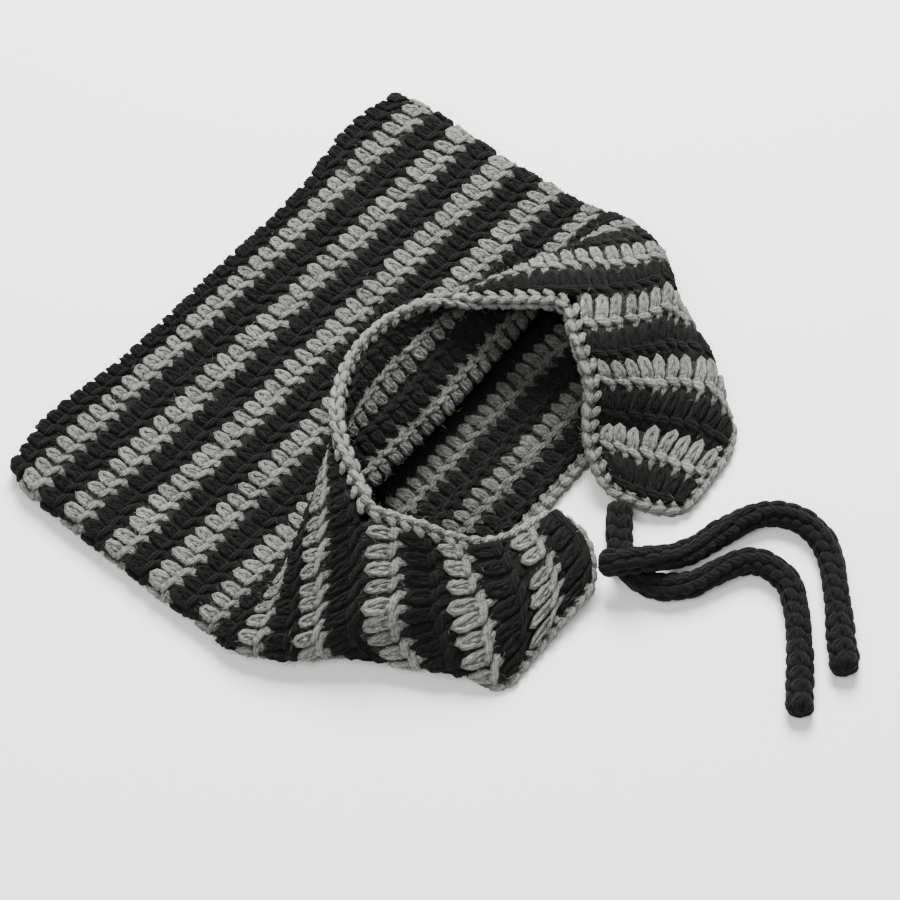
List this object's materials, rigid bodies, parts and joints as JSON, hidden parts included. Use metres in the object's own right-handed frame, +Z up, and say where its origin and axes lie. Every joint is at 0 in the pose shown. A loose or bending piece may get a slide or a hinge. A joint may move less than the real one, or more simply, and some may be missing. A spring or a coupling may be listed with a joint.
{
  "type": "crochet earflap beanie",
  "caption": "Striped crochet beanie with two ear flaps and two tie cords, lying on its back with the forehead edge turned up.",
  "frame": {"origin": "on the floor under the middle row of the bag, half way between its side folds", "axes": "+Z up, +Y towards the crown seam, +X towards the right ear flap"},
  "size_m": [0.2781, 0.35, 0.047],
  "materials": {
    "black_yarn": "matte, fuzzy crocheted wool yarn",
    "grey_yarn": "matte, fuzzy crocheted wool yarn"
  },
  "bodies": {
    "root": {"row_01_black": "black_yarn", "row_02_grey": "grey_yarn", "row_03_black": "black_yarn", "row_04_grey": "grey_yarn", "row_05_black": "black_yarn", "row_06_grey": "grey_yarn", "row_07_black": "black_yarn", "row_08_grey": "grey_yarn", "row_09_black": "black_yarn", "row_10_grey": "grey_yarn", "row_11_black": "black_yarn", "row_12_grey": "grey_yarn", "row_13_black": "black_yarn", "row_14_grey": "grey_yarn", "row_15_black": "black_yarn", "right_flap_row_16_grey": "grey_yarn", "left_flap_row_16_grey": "grey_yarn", "right_flap_row_17_black": "black_yarn", "left_flap_row_17_black": "black_yarn", "right_flap_row_18_grey": "grey_yarn", "left_flap_row_18_grey": "grey_yarn", "right_flap_row_19_black": "black_yarn", "left_flap_row_19_black": "black_yarn", "right_flap_row_20_grey": "grey_yarn", "left_flap_row_20_grey": "grey_yarn", "right_flap_row_21_black": "black_yarn", "left_flap_row_21_black": "black_yarn", "edging_grey": "grey_yarn", "right_cord": "black_yarn", "left_cord": "black_yarn"}
  },
  "joints": []
}
